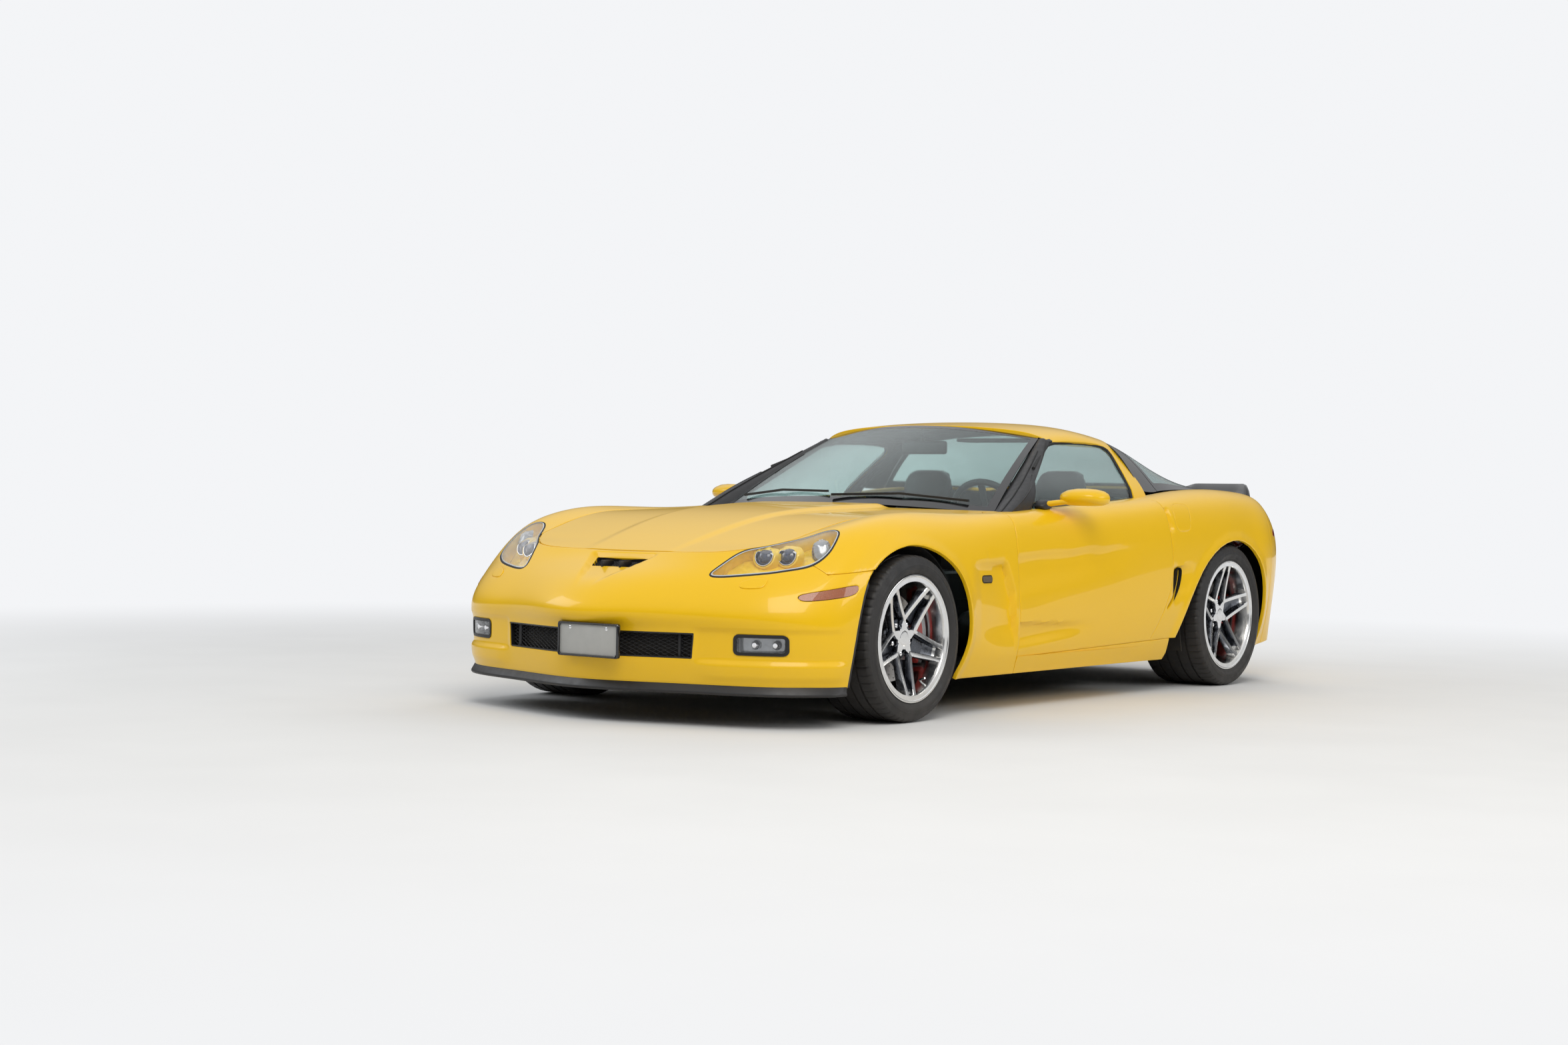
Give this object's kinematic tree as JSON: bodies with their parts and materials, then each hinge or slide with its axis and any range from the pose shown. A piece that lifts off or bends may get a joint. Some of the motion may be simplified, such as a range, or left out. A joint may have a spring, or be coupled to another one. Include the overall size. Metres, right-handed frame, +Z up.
{
  "type": "two-seat sports coupe car",
  "caption": "Low two-seat sports coupe with long ribbed hood, bubble rear glass, split-spoke wheels, opening doors, hood and rear glass, and front wheels that steer.",
  "frame": {"origin": "on the ground, in the middle of the car's length and width", "axes": "+Y towards the tail along the car's length, +X towards the car's left side, +Z up"},
  "size_m": [2.112, 4.46, 1.22],
  "materials": {
    "body_paint": "gloss yellow paint",
    "black_trim": "satin black",
    "plate_grey": "blank plate in a thin frame",
    "clear_lens": "clear",
    "tinted_glass": "tinted",
    "marker_lens": "gloss",
    "red_lens": "gloss",
    "seat_leather": "black leather",
    "engine_alloy": "cast",
    "steel": "satin",
    "suspension_alloy": "cast",
    "tyre_rubber": "matte",
    "wheel_alloy": "polished"
  },
  "bodies": {
    "chassis": {"dashboard": "black_trim", "engine_block": "engine_alloy", "exhaust": "steel", "fender_left": "body_paint", "fender_right": "body_paint", "floor_pan": "black_trim", "fog_lamps": "clear_lens", "frame_rails": "black_trim", "front_plate": "plate_grey", "front_suspension": "suspension_alloy", "grille": "black_trim", "headlamp_left": "clear_lens", "headlamp_right": "clear_lens", "nose": "body_paint", "quarter_left": "body_paint", "quarter_right": "body_paint", "rear_deck": "body_paint", "rear_fascia": "body_paint", "rear_suspension": "suspension_alloy", "roof": "body_paint", "roof_hoop": "body_paint", "seats": "seat_leather", "side_markers": "marker_lens", "sills": "body_paint", "splitter": "black_trim", "spoiler": "black_trim", "tail_lamps": "red_lens", "wheel_liners": "wheel_alloy", "windshield": "tinted_glass", "windshield_frame": "black_trim", "wipers": "black_trim"},
    "door_left_body": {"door_left": "body_paint", "door_glass_left": "tinted_glass", "mirror_left": "body_paint"},
    "door_right_body": {"door_right": "body_paint", "door_glass_right": "tinted_glass", "mirror_right": "body_paint"},
    "hood_body": {"hood": "body_paint"},
    "hatch_body": {"hatch_glass": "tinted_glass"},
    "upright_front_left": {"knuckle_front_left": "suspension_alloy"},
    "upright_front_right": {"knuckle_front_right": "suspension_alloy"},
    "rolling_front_left": {"tyre_front_left": "tyre_rubber", "wheel_front_left": "wheel_alloy"},
    "rolling_front_right": {"tyre_front_right": "tyre_rubber", "wheel_front_right": "wheel_alloy"},
    "rolling_rear_left": {"tyre_rear_left": "tyre_rubber", "wheel_rear_left": "wheel_alloy"},
    "rolling_rear_right": {"tyre_rear_right": "tyre_rubber", "wheel_rear_right": "wheel_alloy"},
    "steering_wheel_body": {"steering_wheel": "black_trim"}
  },
  "joints": [
    {"name": "steer_left", "type": "hinge", "parent": "chassis", "child": "upright_front_left", "pos_m": [0.7665, -1.315, 0.322], "axis": [0, 0, 1], "range_deg": [-33, 33]},
    {"name": "steer_right", "type": "hinge", "parent": "chassis", "child": "upright_front_right", "pos_m": [-0.7665, -1.315, 0.322], "axis": [0, 0, 1], "range_deg": [-33, 33]},
    {"name": "steering_wheel_turn", "type": "hinge", "parent": "chassis", "child": "steering_wheel_body", "pos_m": [0.37, 0.115, 0.77], "axis": [0, 0.9272, 0.3746], "range_deg": [-470, 470]},
    {"name": "spin_front_left", "type": "hinge", "parent": "upright_front_left", "child": "rolling_front_left", "pos_m": [0.8065, -1.315, 0.322], "axis": [1, 0, 0], "continuous": true},
    {"name": "spin_front_right", "type": "hinge", "parent": "upright_front_right", "child": "rolling_front_right", "pos_m": [-0.8065, -1.315, 0.322], "axis": [1, 0, 0], "continuous": true},
    {"name": "spin_rear_left", "type": "hinge", "parent": "chassis", "child": "rolling_rear_left", "pos_m": [0.794, 1.37, 0.335], "axis": [1, 0, 0], "continuous": true},
    {"name": "spin_rear_right", "type": "hinge", "parent": "chassis", "child": "rolling_rear_right", "pos_m": [-0.794, 1.37, 0.335], "axis": [1, 0, 0], "continuous": true},
    {"name": "door_left_hinge", "type": "hinge", "parent": "chassis", "child": "door_left_body", "pos_m": [0.932, -0.515, 0.5], "axis": [0, 0, -1], "range_deg": [0, 65]},
    {"name": "door_right_hinge", "type": "hinge", "parent": "chassis", "child": "door_right_body", "pos_m": [-0.932, -0.515, 0.5], "axis": [0, 0, 1], "range_deg": [0, 65]},
    {"name": "hood_hinge", "type": "hinge", "parent": "chassis", "child": "hood_body", "pos_m": [0, -1.91, 0.64], "axis": [1, 0, 0], "range_deg": [0, 50]},
    {"name": "hatch_hinge", "type": "hinge", "parent": "chassis", "child": "hatch_body", "pos_m": [0, 0.893, 1.19], "axis": [1, 0, 0], "range_deg": [0, 45]}
  ],
  "couplings": [
    {"joint": "steer_right", "follows": "steer_left", "ratio": 1},
    {"joint": "steering_wheel_turn", "follows": "steer_left", "ratio": 14}
  ]
}
